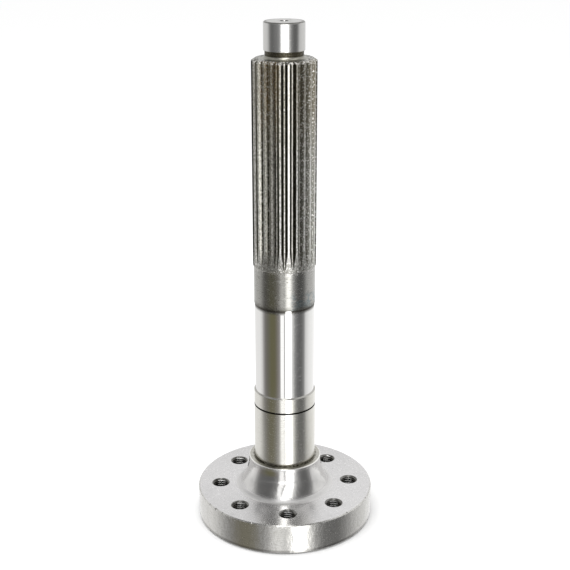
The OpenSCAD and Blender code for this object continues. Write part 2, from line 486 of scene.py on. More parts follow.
class Steel:
    """Bare steel in the making: a clean metal, the stains and marks laid over it, and their relief."""

    def __init__(self, name, colour, roughness, anisotropy=0.0):
        self.material = bpy.data.materials.new(name)
        self.material.use_nodes = True
        self.tree = self.material.node_tree
        self.shader = self.tree.nodes["Principled BSDF"]
        self.shader.inputs["Metallic"].default_value = 1.0
        self.shader.inputs["Anisotropic"].default_value = anisotropy
        self.shader.inputs["Anisotropic Rotation"].default_value = 0.25
        self.colour = (*colour, 1)
        self.roughness = roughness
        self.height = None
        self.point = add_node(self.tree, "ShaderNodeTexCoord").outputs["Object"]
        self.x, self.y, self.z = add_node(self.tree, "ShaderNodeSeparateXYZ", [(0, self.point)]).outputs
        across = math_node(self.tree, "MULTIPLY", self.x, self.x)
        across = math_node(self.tree, "MULTIPLY_ADD", self.y, self.y, across)
        self.radius = math_node(self.tree, "SQRT", across)

    def aside(self):
        """Distance to either side of the plane through the front and the axis."""
        return math_node(self.tree, "ABSOLUTE", self.x)

    def from_gap(self, shift):
        """Tooth pitches from the middle of the nearest gap, which a shift moves round: 0.5 is on a tooth."""
        turn = math_node(self.tree, "ARCTAN2", self.y, self.x)
        turn = math_node(self.tree, "MULTIPLY_ADD", turn, TEETH / math.tau, -FRONT * TEETH / math.tau - shift)
        return math_node(self.tree, "PINGPONG", turn, 0.5)

    def between(self, value, low, high):
        """Mask that rises from 0 to 1 as a value goes from low to high."""
        return ramp(self.tree, value, low, high)

    def band(self, value, start, full, fade, end):
        """Mask that rises from start to full, and falls again from fade to end."""
        return self.both(self.between(value, start, full), self.between(value, end, fade))

    def both(self, a, b):
        """Mask where two masks meet."""
        return math_node(self.tree, "MULTIPLY", a, b)

    def either(self, a, b):
        """Mask where one of two masks is."""
        return math_node(self.tree, "MAXIMUM", a, b)

    def without(self, mask, hole, share=1.0):
        """Mask with a share of another taken out of it."""
        return self.both(mask, math_node(self.tree, "MULTIPLY_ADD", hole, -share, 1.0))

    def marks(self, size, low, high, length=(1.0, 1.0, 1.0), detail=3.0):
        """Mask of marks about one size across. Length draws them out along X, Y and Z."""
        scale = tuple(1 / (size * n) for n in length)
        laid = add_node(self.tree, "ShaderNodeMapping", [("Vector", self.point), ("Scale", scale)])
        field = add_node(
            self.tree, "ShaderNodeTexNoise",
            [("Vector", laid.outputs[0]), ("Scale", 1.0), ("Detail", detail), ("Roughness", 0.6)],
        )
        return self.between(field.outputs["Fac"], low, high)

    def tool_lines(self, pitch, low, high):
        """Mask of the lines that a tool or wheel leaves round the axis, on walls and faces alike."""
        way = math_node(self.tree, "SUBTRACT", self.z, self.radius)
        field = add_node(
            self.tree, "ShaderNodeTexNoise",
            [("W", way), ("Scale", 1 / pitch), ("Detail", 3.0), ("Roughness", 0.7)], noise_dimensions="1D",
        )
        return self.between(field.outputs["Fac"], low, high)

    def scratches(self, low, high, size=0.45 * MM, length=14.0):
        """Mask of short scratches that run round the axis."""
        return self.marks(size, low, high, (length, length, 1.0), 2.0)

    def lay(self, mask, share, colour=None, roughness=None):
        """Lays another colour and gloss over what is there, by a share of the mask."""
        factor = math_node(self.tree, "MULTIPLY", mask, share)
        if colour is not None:
            self.colour = mix(self.tree, factor, self.colour, (*colour, 1))
        if roughness is not None:
            self.roughness = mix(self.tree, factor, self.roughness, roughness)

    def raise_by(self, mask, height):
        """Raises the surface by a height, in metres, where the mask is 1."""
        step = math_node(self.tree, "MULTIPLY", mask, height)
        self.height = step if self.height is None else math_node(self.tree, "ADD", self.height, step)

    def done(self):
        """The finished material."""
        for name, value in (("Base Color", self.colour), ("Roughness", self.roughness)):
            self.tree.links.new(value, self.shader.inputs[name])
        if self.height is not None:
            relief = add_node(self.tree, "ShaderNodeBump", [("Distance", 1.0), ("Height", self.height)])
            self.tree.links.new(relief.outputs[0], self.shader.inputs["Normal"])
        return self.material


def ground_pilot():
    """Ground journal at the shaft's end, with a dark broken edge.

    Its paler band follows a highlight of the photograph.
    """
    steel = Steel("ground_pilot", (0.67, 0.665, 0.65), 0.13)
    paler = steel.band(steel.x, -9.5 * MM, -5.5 * MM, -3 * MM, -1.5 * MM)
    steel.lay(paler, 1.0, (0.97, 0.965, 0.95), 0.15)
    steel.lay(steel.tool_lines(0.35 * MM, 0.35, 0.7), 0.3, (0.60, 0.595, 0.58), 0.16)
    steel.lay(steel.scratches(0.6, 0.68), 0.5, (0.72, 0.715, 0.70), 0.3)
    edge = steel.between(steel.z, TOTAL_LENGTH - PILOT_CHAMFER, TOTAL_LENGTH - 0.7 * PILOT_CHAMFER)
    steel.lay(edge, 0.85, (0.12, 0.117, 0.105), 0.36)
    steel.raise_by(steel.marks(3 * MM, 0.3, 0.7), 0.004 * MM)
    return steel.done()


def faced_end():
    """Faced end of the pilot, dull in the middle and dark round its edge."""
    steel = Steel("faced_end", (0.54, 0.535, 0.52), 0.3)
    steel.lay(steel.tool_lines(0.5 * MM, 0.35, 0.65), 0.7, (0.45, 0.445, 0.43), 0.36)
    steel.lay(steel.marks(3.5 * MM, 0.5, 0.6), 0.6, (0.32, 0.315, 0.3), 0.36)
    ring = steel.between(steel.radius, PILOT_R - 3.4 * MM, PILOT_R - 1.6 * MM)
    steel.lay(ring, 0.85, (0.1, 0.097, 0.088))
    steel.lay(steel.marks(1.2 * MM, 0.54, 0.64), 0.4, (0.72, 0.71, 0.69), 0.25)
    return steel.done()


def drilled_centre():
    """Centre hole of the lathe: dark cone, with a pale strip that follows a highlight of the photograph."""
    steel = Steel("drilled_centre", (0.05, 0.048, 0.042), 0.3)
    steel.lay(steel.between(steel.aside(), 1.35 * MM, 0.95 * MM), 0.95, (0.88, 0.87, 0.85), 0.2)
    return steel.done()


def dark_recess(name, dark, bare, share):
    """Recess that the grinding wheel doesn't reach: dark scale, worn to bare metal in places.

    In the tapped holes, on the thread's lands and its flanks aside, the same dark is painted shade.
    """
    steel = Steel(name, dark, 0.5)
    steel.lay(steel.marks(0.9 * MM, 0.5, 0.68), share, bare, 0.34)
    steel.lay(steel.tool_lines(0.4 * MM, 0.5, 0.7), 0.5 * share, bare, 0.3)
    steel.raise_by(steel.marks(0.7 * MM, 0.3, 0.7), 0.03 * MM)
    return steel.done()


def spline_end():
    """Turned end face and fillet above the teeth: painted highlight in front, flecks aside, a dark lip."""
    steel = Steel("spline_end", (0.27, 0.264, 0.225), 0.34)
    aside = steel.aside()
    # Painted highlight: paler across the front.
    steel.lay(steel.between(aside, 12 * MM, 7 * MM), 0.9, (0.72, 0.7, 0.61), 0.28)
    steel.lay(steel.tool_lines(0.5 * MM, 0.4, 0.65), 0.4, (0.3, 0.293, 0.25), 0.36)
    outer = steel.between(steel.radius, RELIEF_R + 1.4 * RELIEF_FILLET, RELIEF_R + 2.2 * RELIEF_FILLET)
    steel.lay(outer, 0.7, (0.25, 0.245, 0.215), 0.4)
    steel.lay(steel.both(steel.marks(2.0 * MM, 0.46, 0.52), outer), 0.9, (0.04, 0.038, 0.03), 0.5)
    sides = steel.both(outer, steel.between(aside, 4 * MM, 10 * MM))
    flecks = steel.both(steel.marks(1.6 * MM, 0.53, 0.58, detail=2.0), sides)
    steel.lay(flecks, 0.9, (0.9, 0.89, 0.86), 0.35)
    lip_r = TIP_R - SPLINE_CHAMFER_DEPTH
    lip = steel.between(steel.radius, lip_r - 0.9 * MM, lip_r - 0.4 * MM)
    steel.lay(lip, 0.8, (0.04, 0.038, 0.03), 0.45)
    return steel.done()


def bare_flanks(steel, left, right):
    """Flanks paler to the left, grey to the right: painted light and shade, with some wear and fine scale."""
    above_floor = steel.between(steel.radius, ROOT_R + 0.5 * MM, ROOT_R + 1.0 * MM)
    steel.lay(steel.both(left, above_floor), 0.9, (0.6, 0.588, 0.525), 0.42)
    far_left = steel.between(steel.x, -20 * MM, -21 * MM)
    tooth_top = steel.between(steel.radius, TIP_R - 1.0 * MM, TIP_R - 0.6 * MM)
    steel.lay(steel.both(far_left, tooth_top), 0.9, (0.56, 0.552, 0.53), 0.42)
    steel.lay(right, 0.7, (0.26, 0.258, 0.233), 0.5)


def worn_teeth(steel):
    """Lays bare metal on the floors of the gaps and on the tips, and gives the mask of both.

    Some floors and tips are darkened as painted shade.
    """
    at_root = steel.between(steel.radius, ROOT_R + 0.3 * MM, ROOT_R + 0.1 * MM)
    run_out = steel.between(steel.z, SPLINE_Z + 22 * MM, SPLINE_Z + 18 * MM)
    below_tip = steel.between(steel.radius, TIP_R - 0.2 * MM, TIP_R - 0.5 * MM)
    bare = steel.either(at_root, steel.both(run_out, below_tip))
    from_gap = steel.from_gap(WEAR_SHIFT)
    floors = steel.both(bare, steel.between(from_gap, 0.075, 0.03))
    lands = steel.between(from_gap, 0.38, 0.42)
    whole = steel.between(steel.z, SPLINE_Z + 16 * MM, SPLINE_Z + 5 * MM)
    tips = steel.between(steel.radius, TIP_R - 0.24 * MM, TIP_R - 0.06 * MM)
    tips = steel.both(tips, steel.either(lands, whole))
    steel.lay(floors, 0.97, (0.76, 0.745, 0.69), 0.34)
    # Painted shade on the floors to the left and on the middle floors higher up.
    shaded = steel.between(steel.x, -9 * MM, -12 * MM)
    steel.lay(steel.both(floors, shaded), 0.45, (0.12, 0.115, 0.095), 0.45)
    middle = steel.between(steel.aside(), 2.6 * MM, 1.8 * MM)
    middle = steel.both(middle, steel.between(steel.z, 300 * MM, 350 * MM))
    steel.lay(steel.both(floors, middle), 0.75, (0.2, 0.195, 0.17), 0.4)
    steel.lay(tips, 0.98, (0.88, 0.875, 0.84), 0.4)
    # Painted shade on the tips far to the left.
    steel.lay(steel.both(tips, steel.between(steel.x, -14 * MM, -17 * MM)), 0.6, (0.42, 0.415, 0.39), 0.42)
    return steel.either(floors, tips)


def fading_run_out(steel, worn, left):
    """Dulls the bare metal where the gaps run out, and tears its end a little."""
    end = steel.both(steel.between(steel.z, SPLINE_Z + 14 * MM, SPLINE_Z + 4 * MM), worn)
    steel.lay(end, 0.8, (0.34, 0.335, 0.31), 0.3)
    steel.lay(steel.both(steel.marks(1.1 * MM, 0.52, 0.57), end), 0.9, (0.95, 0.94, 0.91), 0.36)
    fading = steel.between(steel.z, SPLINE_Z + 18 * MM, SPLINE_Z + 8 * MM)
    steel.lay(steel.both(fading, steel.either(worn, left)), 0.62, (0.22, 0.217, 0.2), 0.36)


def stained_teeth(steel, worn):
    """Stains of oil and rust, which grow towards the upper end, and a grey darkening at the upper left."""
    above = steel.between(steel.z, 300 * MM, 365 * MM)
    steel.lay(steel.both(above, worn), 0.4, (0.72, 0.67, 0.52), 0.42)
    brown = steel.both(steel.band(steel.x, -20 * MM, -15 * MM, -6 * MM, -2 * MM), above)
    steel.lay(brown, 0.55, (0.25, 0.183, 0.095), 0.45)
    # Grey darkening towards the upper left.
    steel.lay(steel.both(steel.between(steel.x, -14 * MM, -18 * MM), above), 0.5, (0.15, 0.14, 0.115), 0.45)
    dull = steel.both(steel.between(steel.x, 6 * MM, 10 * MM), steel.between(steel.z, 290 * MM, 360 * MM))
    steel.lay(dull, 0.5, (0.13, 0.105, 0.052), 0.5)
    rust = steel.both(brown, steel.marks(3.0 * MM, 0.45, 0.6, (1, 1, 6)))
    steel.lay(rust, 0.5, (0.22, 0.15, 0.07), 0.5)
    olive = steel.both(steel.between(steel.x, 8 * MM, -4 * MM), steel.between(steel.z, 270 * MM, 300 * MM))
    steel.lay(steel.both(olive, worn), 0.35, (0.5, 0.48, 0.36), 0.45)


def flecked_teeth(steel, worn, left, right):
    """Streaks, dark grains and bright flecks, with painted shade far out on both sides."""
    streaks = steel.both(steel.marks(1.1 * MM, 0.5, 0.6, (1, 1, 8)), worn)
    steel.lay(streaks, 0.3, (0.4, 0.39, 0.35), 0.5)
    grains = steel.marks(1.2 * MM, 0.49, 0.56, (1, 1, 1.5), 2.0)
    grains = steel.both(grains, steel.between(steel.x, 22 * MM, 16 * MM))
    clean = steel.band(steel.x, 1.5 * MM, 2.5 * MM, 5.5 * MM, 6.5 * MM)
    steel.lay(steel.without(grains, clean, 0.7), 0.55, (0.12, 0.117, 0.095), 0.5)
    # Painted shade along both outer sides of the teeth.
    edge_shade_left = steel.between(steel.x, -23.2 * MM, -24.0 * MM)
    edge_shade_right = steel.between(steel.x, 24.0 * MM, 24.4 * MM)
    steel.lay(steel.either(edge_shade_left, edge_shade_right), 0.95, (0.03, 0.029, 0.026), 0.5)
    flecks = steel.marks(1.05 * MM, 0.56, 0.61, (1, 1, 1.4), 2.0)
    steel.lay(steel.both(flecks, steel.either(worn, right)), 0.7, (0.92, 0.91, 0.88), 0.4)
    fine_flecks = steel.marks(1.0 * MM, 0.57, 0.61, (1, 1, 1.6), 2.0)
    steel.lay(steel.both(fine_flecks, left), 0.4, (0.85, 0.84, 0.8), 0.42)
    upper_end = steel.between(steel.z, SPLINE_TOP_Z - 2.2 * MM, SPLINE_TOP_Z - 1.8 * MM)
    steel.lay(steel.both(upper_end, steel.marks(1.4 * MM, 0.5, 0.56)), 0.85, (0.85, 0.84, 0.8), 0.4)


def milled_spline():
    """Teeth: worn tips and bare floors between dark flanks, stained above and flecked all over.

    Their tones change from left to right as the photograph shows them, with its light and shade.
    """
    steel = Steel("milled_spline", (0.035, 0.032, 0.023), 0.42)
    left = steel.band(steel.x, -21 * MM, -19.5 * MM, -8 * MM, -5 * MM)
    right = steel.between(steel.x, 8 * MM, 14 * MM)
    bare_flanks(steel, left, right)
    worn = worn_teeth(steel)
    fading_run_out(steel, worn, left)
    stained_teeth(steel, worn)
    flecked_teeth(steel, worn, left, right)
    steel.raise_by(steel.marks(0.9 * MM, 0.3, 0.7, (1, 1, 1.6)), 0.06 * MM)
    return steel.done()


def turned_collar():
    """Plain turned collar, dull, with tool lines, scratches, a bluish stain and dirt at its lower edge.

    Its upper edge is torn a little by the cutter, and its tones change aside as in the photograph.
    """
    steel = Steel("turned_collar", (0.33, 0.326, 0.305), 0.21)
    # Painted light and shade: lighter from the middle to the right, and a paler band left of the middle.
    steel.lay(steel.between(steel.x, -2 * MM, 10 * MM), 1.0, (0.39, 0.386, 0.37), 0.2)
    paler = steel.band(steel.x, -15 * MM, -11 * MM, -6 * MM, -2 * MM)
    steel.lay(paler, 1.0, (0.47, 0.462, 0.43), 0.22)
    steel.lay(steel.tool_lines(0.6 * MM, 0.38, 0.66), 0.3, (0.29, 0.286, 0.265), 0.25)
    lower_half = steel.between(steel.z, COLLAR_Z + 18 * MM, COLLAR_Z + 8 * MM)
    blue = steel.both(steel.between(steel.x, 2 * MM, 9 * MM), lower_half)
    steel.lay(steel.both(blue, steel.marks(5 * MM, 0.42, 0.56)), 0.7, (0.2, 0.25, 0.265), 0.3)
    steel.lay(steel.scratches(0.57, 0.64, 0.6 * MM, 9.0), 0.5, (0.5, 0.495, 0.47), 0.42)
    steel.lay(steel.scratches(0.61, 0.67, 0.9 * MM, 4.0), 0.6, (0.15, 0.147, 0.13), 0.42)
    dirt = steel.both(steel.between(steel.z, COLLAR_Z + 5 * MM, COLLAR_Z), steel.marks(4 * MM, 0.3, 0.52))
    steel.lay(dirt, 0.8, (0.13, 0.126, 0.108), 0.34)
    lower_edge = steel.between(steel.z, COLLAR_Z + 0.6 * MM, COLLAR_Z + 0.3 * MM)
    steel.lay(lower_edge, 0.9, (0.04, 0.035, 0.025), 0.45)
    torn = steel.both(steel.between(steel.z, SPLINE_Z - 5 * MM, SPLINE_Z), steel.marks(1.2 * MM, 0.54, 0.6))
    steel.lay(torn, 0.9, (0.75, 0.74, 0.71), 0.36)
    upper_edge = steel.between(steel.z, SPLINE_Z - 0.9 * MM, SPLINE_Z - 0.6 * MM)
    steel.lay(upper_edge, 0.6, (0.5, 0.49, 0.46), 0.4)
    steel.raise_by(steel.tool_lines(0.6 * MM, 0.3, 0.7), 0.0015 * MM)
    steel.raise_by(steel.scratches(0.5, 0.66), 0.0015 * MM)
    return steel.done()


def polished_journal():
    """Polished journal, nearly a mirror, rubbed on one side, with dirt and painted shade under the collar."""
    steel = Steel("polished_journal", (0.79, 0.785, 0.77), 0.055)
    steel.lay(steel.tool_lines(0.35 * MM, 0.4, 0.7), 0.5, (0.74, 0.735, 0.72), 0.08)
    steel.lay(steel.scratches(0.62, 0.7), 0.5, (0.7, 0.695, 0.68), 0.2)
    rubbed = steel.band(steel.x, 6 * MM, 8 * MM, 13 * MM, 15 * MM)
    rubbed = steel.both(rubbed, steel.scratches(0.5, 0.62, 0.9 * MM, 5.0))
    steel.lay(rubbed, 0.6, (0.8, 0.795, 0.78), 0.3)
    # Painted shade under the collar mixed with dirt, left out where the highlight crosses it.
    dirt = steel.between(steel.z, COLLAR_Z - 4.2 * MM, COLLAR_Z - 0.6 * MM)
    highlight_gap = steel.band(steel.x, 0.3 * MM, 1.3 * MM, 4.8 * MM, 5.8 * MM)
    steel.lay(steel.without(dirt, highlight_gap), 0.93, (0.035, 0.03, 0.02), 0.4)
    steel.raise_by(steel.marks(9 * MM, 0.3, 0.7, (1, 1, 4)), 0.003 * MM)
    return steel.done()


def ground_seat():
    """Ground bearing seat, satin and a little yellow, with short scratches round it.

    Its paler band follows a highlight of the photograph.
    """
    steel = Steel("ground_seat", (0.71, 0.698, 0.655), 0.18)
    paler = steel.band(steel.x, -5 * MM, -2.5 * MM, 1.5 * MM, 4 * MM)
    steel.lay(paler, 0.9, (0.96, 0.95, 0.91), 0.18)
    steel.lay(steel.tool_lines(0.4 * MM, 0.38, 0.66), 0.6, (0.65, 0.638, 0.59), 0.22)
    steel.lay(steel.scratches(0.58, 0.68), 0.6, (0.6, 0.587, 0.535), 0.34)
    steel.lay(steel.marks(11 * MM, 0.5, 0.66), 0.4, (0.66, 0.645, 0.58), 0.2)
    # The lead-in chamfer is painted darker as shade.
    lead_in = steel.between(steel.z, JOURNAL_Z - 1.2 * MM, JOURNAL_Z - 1.1 * MM)
    steel.lay(lead_in, 0.9, (0.46, 0.452, 0.425), 0.24)
    steel.raise_by(steel.scratches(0.5, 0.68), 0.003 * MM)
    return steel.done()


def grinding_undercut():
    """Undercut at the shoulder: bare steel with dirt torn along its corner."""
    steel = Steel("grinding_undercut", (0.5, 0.485, 0.42), 0.34)
    corner = steel.between(steel.z, SHOULDER_Z + 0.8 * UNDERCUT_W, SHOULDER_Z + 0.1 * MM)
    dirt = steel.marks(2.2 * MM, 0.6, 0.4, (1, 1, 0.8))
    steel.lay(steel.both(dirt, corner), 1.0, (0.03, 0.024, 0.014), 0.5)
    steel.lay(steel.marks(0.7 * MM, 0.54, 0.62), 0.6, (0.09, 0.075, 0.045), 0.45)
    steel.raise_by(dirt, 0.04 * MM)
    return steel.done()


def bearing_shoulder():
    """Shoulder and its broken edge: bright outside, grey further in and dirty at the seat."""
    steel = Steel("bearing_shoulder", (0.48, 0.47, 0.43), 0.28)
    steel.lay(steel.marks(1.3 * MM, 0.5, 0.62), 0.5, (0.28, 0.27, 0.23), 0.4)
    near_seat = steel.between(steel.radius, SEAT_R + 1.9 * MM, SEAT_R + 0.7 * MM)
    steel.lay(steel.both(near_seat, steel.marks(2.6 * MM, 0.36, 0.54)), 0.85, (0.08, 0.07, 0.05), 0.45)
    edge = steel.between(steel.radius, NECK_R - SHOULDER_CHAMFER - 0.3 * MM, NECK_R - SHOULDER_CHAMFER)
    steel.lay(edge, 0.95, (0.9, 0.89, 0.86), 0.26)
    return steel.done()


def flared_neck():
    """Flare, turned smooth by hand, with faint dents that bend what it mirrors and a dull foot."""
    steel = Steel("flared_neck", (0.76, 0.75, 0.735), 0.11)
    steel.lay(steel.tool_lines(0.5 * MM, 0.36, 0.66), 0.6, (0.68, 0.67, 0.655), 0.14)
    steel.lay(steel.marks(7 * MM, 0.5, 0.68), 0.4, (0.66, 0.655, 0.645), 0.18)
    foot = steel.between(steel.z, FLANGE_T + 5 * MM, FLANGE_T + 0.5 * MM)
    steel.lay(foot, 1.0, (0.66, 0.652, 0.645), 0.42)
    steel.raise_by(steel.marks(8 * MM, 0.25, 0.75), 0.05 * MM)
    return steel.done()


def faced_flange(name, colour):
    """Faced flange, with rings left by the tool that draw its shine out from the middle.

    The upper face is paler round its front hole, which follows a highlight of the photograph.
    """
    steel = Steel(name, colour, 0.25, 0.9)
    upper_face = steel.between(steel.z, 0.4 * FLANGE_T, 0.6 * FLANGE_T)
    in_front = steel.both(upper_face, steel.between(steel.y, -38 * MM, -44 * MM))
    paler = steel.both(in_front, steel.between(steel.aside(), 12 * MM, 7 * MM))
    steel.lay(paler, 1.0, (0.95, 0.945, 0.94), 0.25)
    worn = tuple(0.86 * c for c in colour)
    bright = tuple(1.3 * c for c in colour)
    scratched = tuple(0.7 * c for c in colour)
    steel.lay(steel.tool_lines(0.55 * MM, 0.36, 0.66), 0.6, worn, 0.28)
    steel.lay(steel.marks(14 * MM, 0.48, 0.66), 0.3, worn, 0.24)
    steel.lay(steel.marks(2.4 * MM, 0.5, 0.62), 0.45, worn, 0.27)
    steel.lay(steel.marks(1.8 * MM, 0.6, 0.66), 0.5, bright, 0.3)
    steel.lay(steel.scratches(0.63, 0.69, 0.4 * MM, 12.0), 0.25, scratched, 0.32)
    steel.raise_by(steel.tool_lines(0.55 * MM, 0.3, 0.7), 0.002 * MM)
    return steel.done()


def turned_rim():
    """Flange rim: turned a little wavy and specked grey, with a knocked upper edge.

    Its foot is painted dark as shade.
    """
    steel = Steel("turned_rim", (0.65, 0.64, 0.615), 0.12)
    worn_edge = steel.between(steel.z, FLANGE_T - 3.5 * MM, FLANGE_T - 1.5 * MM)
    steel.lay(steel.both(worn_edge, steel.marks(1.6 * MM, 0.56, 0.6)), 0.9, (0.95, 0.94, 0.92), 0.45)
    steel.lay(steel.both(worn_edge, steel.marks(1.3 * MM, 0.59, 0.63)), 0.8, (0.22, 0.215, 0.2), 0.4)
    pitted = steel.both(steel.between(steel.x, 22 * MM, 32 * MM), steel.marks(1.5 * MM, 0.54, 0.6))
    steel.lay(pitted, 0.45, (0.34, 0.335, 0.32), 0.3)
    steel.lay(steel.tool_lines(0.7 * MM, 0.36, 0.64), 0.5, (0.58, 0.57, 0.545), 0.16)
    steel.lay(steel.marks(1.3 * MM, 0.5, 0.6, (1.6, 1.6, 1)), 0.55, (0.5, 0.49, 0.465), 0.26)
    steel.lay(steel.marks(6 * MM, 0.5, 0.62, (1, 1, 2)), 0.5, (0.58, 0.57, 0.54), 0.2)
    # Painted shade: a dark band above the foot, and the foot chamfer near black.
    shade = steel.between(steel.z, FLANGE_FOOT_CHAMFER + 2.6 * MM, FLANGE_FOOT_CHAMFER + 1.2 * MM)
    steel.lay(shade, 0.65, (0.25, 0.245, 0.23), 0.16)
    foot = steel.between(steel.z, FLANGE_FOOT_CHAMFER + 0.1 * MM, FLANGE_FOOT_CHAMFER - 0.1 * MM)
    steel.lay(foot, 0.97, (0.1, 0.098, 0.088), 0.3)
    steel.raise_by(steel.marks(5 * MM, 0.3, 0.7, (1, 1, 1.6)), 0.05 * MM)
    steel.raise_by(steel.marks(1.8 * MM, 0.3, 0.7), 0.006 * MM)
    return steel.done()


def thread_flank_highlight():
    """Flanks of the tapped thread that face front or back, bright as in the photograph."""
    # This bright colour is a painted highlight.
    steel = Steel("thread_flank_highlight", (0.97, 0.965, 0.95), 0.34)
    steel.lay(steel.marks(0.8 * MM, 0.6, 0.66), 0.4, (0.5, 0.49, 0.45), 0.4)
    return steel.done()


def countersink_shade():
    """Countersink of a tapped hole, painted dark grey as shade in its mouth."""
    steel = Steel("countersink_shade", (0.24, 0.236, 0.225), 0.28)
    steel.lay(steel.marks(0.8 * MM, 0.5, 0.6), 0.5, (0.1, 0.097, 0.09), 0.34)
    return steel.done()


def make_finishes():
    """Every finish of the shaft, by the surface that has it."""
    return {
        "pilot": ground_pilot(),
        "end_face": faced_end(),
        "centre_hole": drilled_centre(),
        "relief": dark_recess("relief", (0.07, 0.062, 0.042), (0.24, 0.22, 0.17), 0.6),
        "spline_end": spline_end(),
        "spline": milled_spline(),
        "collar": turned_collar(),
        "journal": polished_journal(),
        "seat": ground_seat(),
        "ring_groove": dark_recess("ring_groove", (0.03, 0.027, 0.02), (0.08, 0.075, 0.06), 0.5),
        "undercut": grinding_undercut(),
        "shoulder": bearing_shoulder(),
        "neck": flared_neck(),
        "flange_face": faced_flange("flange_face", (0.68, 0.672, 0.672)),
        "mounting_face": faced_flange("mounting_face", (0.64, 0.632, 0.62)),
        "flange_rim": turned_rim(),
        "thread_flank_highlight": thread_flank_highlight(),
        # The thread's flanks aside and its lands are dark as painted shade.
        "thread_side_shade": dark_recess("thread_side_shade", (0.2, 0.195, 0.18), (0.08, 0.077, 0.07), 0.4),
        "thread_land_shade": dark_recess("thread_land_shade", (0.012, 0.011, 0.01), (0.04, 0.038, 0.034), 0.4),
        "countersink": countersink_shade(),
    }


def make_shaft():
    """The shaft, cut from its turned blank and put in place of the CAD solid."""
    shaft = as_object("shaft", turned_blank())
    tools = [
        as_object("spline_tool", spline_cutter()),
        as_object("thread_tool", thread_cutter()),
        as_object("countersink_tool", countersink_cutter()),
        as_object("nick_tool", nick_cutter()),
    ]
    cut_away(shaft, tools)
    dress(shaft, make_finishes())
    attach(shaft, "root")
    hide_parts("clutch_shaft")


# Bands of the studio round the shaft: degrees to the right of the front, and the light there
WALL_BANDS = [
    (-180, (0.98, 0.98, 0.98)), (-150, (0.94, 0.94, 0.94)), (-112, (0.95, 0.95, 0.95)),
    (-98, (0.76, 0.75, 0.75)), (-90, (0.43, 0.42, 0.42)), (-80, (0.21, 0.20, 0.19)),
    (-70, (0.165, 0.158, 0.135)), (-52, (0.152, 0.144, 0.085)), (-38, (0.155, 0.146, 0.092)),
    (-30, (0.20, 0.185, 0.155)), (-20, (0.31, 0.295, 0.29)), (-17, (0.5, 0.49, 0.49)),
    (-14, 1.3), (-3, 1.3), (-1.6, 0.5), (1.6, 0.5), (3, 1.6), (9, 3.4), (22, 3.4), (26, 1.3), (31, 0.75),
    (40, 0.31), (50, 0.175), (60, 0.14), (70, 0.165), (80, 0.30), (89, 0.75), (100, 0.9), (110, 1.0),
    (150, 1.1), (180, 1.05),
]
# The same at eye level, and near the floor
EYE_BANDS = [
    (-180, 1.0), (-112, 0.95), (-98, 0.72), (-90, 0.4), (-80, 0.23), (-70, 0.185), (-60, 0.185),
    (-50, 0.19), (-40, 0.21), (-30, 0.28), (-21, 0.42), (-16.5, 1.9), (21, 2.2), (25, 0.8), (30, 0.5),
    (40, 0.32), (50, 0.21), (60, 0.165), (70, 0.18), (80, 0.3), (90, 0.62), (100, 0.85), (112, 0.95),
    (180, 1.0),
]
FLOOR_BANDS = [
    (-180, 1.0), (-112, 0.95), (-100, 0.78), (-90, 0.56), (-80, 0.38), (-70, (0.28, 0.27, 0.245)),
    (-60, (0.235, 0.222, 0.18)), (-50, (0.24, 0.228, 0.18)), (-40, (0.28, 0.27, 0.235)), (-30, 0.37),
    (-20, 0.62), (-14, 1.0), (-6, 1.1), (0, 0.8), (6, 0.9), (10, 1.8), (13, 3.4), (25, 3.4), (31, 1.3),
    (38, 0.7), (45, 0.36), (52, 0.23), (70, 0.2), (80, 0.24), (90, 0.4), (100, 0.58), (110, 0.76),
    (140, 1.0), (180, 1.05),
]
# Bands overhead, in front and at the top: how far aside, as a share of the opening between the walls
OVERHEAD_BANDS = [
    (-1.25, 1.1), (-1.0, 1.0), (-0.9, 0.55), (-0.82, 0.24), (-0.5, 0.22), (-0.36, 0.5), (-0.26, 0.9),
    (-0.18, 1.6), (-0.12, 2.6), (0.06, 2.6), (0.11, 1.1), (0.17, 0.5), (0.28, 0.36), (0.5, 0.22),
    (0.7, 0.24), (0.78, 0.5), (0.85, 0.8), (0.92, 1.05), (1.25, 1.15),
]
TOP_BANDS = [
    (-1.25, 1.1), (-0.79, 1.0), (-0.74, 0.7), (-0.69, 0.42), (-0.6, 0.34), (-0.48, 0.34), (-0.33, 0.5),
    (-0.2, 0.65), (-0.14, 2.6), (0.08, 2.6), (0.13, 0.6), (0.3, 0.5), (0.5, 0.5), (0.58, 0.7), (0.68, 1.0),
    (1.25, 1.15),
]
TURN_RANGE = (-180, 180)
ASIDE_RANGE = (-1.4, 1.4)
BAND_PEAK = 3.4
TENT_R = 4.0

# Heights at which the parts of the tent meet, from -1 underneath to 1 at the top
FLOOR_MEETS_WALL = (-0.38, -0.48)
GREY_MEETS_COLOUR = (-0.18, -0.32)
EYE_LEVEL = (-0.06, -0.045, 0.0, 0.015)
WALL_MEETS_OVERHEAD = (0.4, 0.62)
OVERHEAD_MEETS_TOP = (0.72, 0.88)


def light_bands(tree, place, bands, reach):
    """Colour output of a row of light bands along a place within its reach, as a share of the peak."""
    low, high = reach
    share = math_node(tree, "DIVIDE", math_node(tree, "SUBTRACT", place, low), high - low)
    made = add_node(tree, "ShaderNodeValToRGB", [(0, share)])
    stops = made.color_ramp.elements
    while len(stops) < len(bands):
        stops.new(0.5)
    for stop, (at, light) in zip(stops, bands):
        colour = light if isinstance(light, tuple) else (light, light, light)
        stop.position = (at - low) / (high - low)
        stop.color = (*(c / BAND_PEAK for c in colour), 1)
    return made.outputs[0]


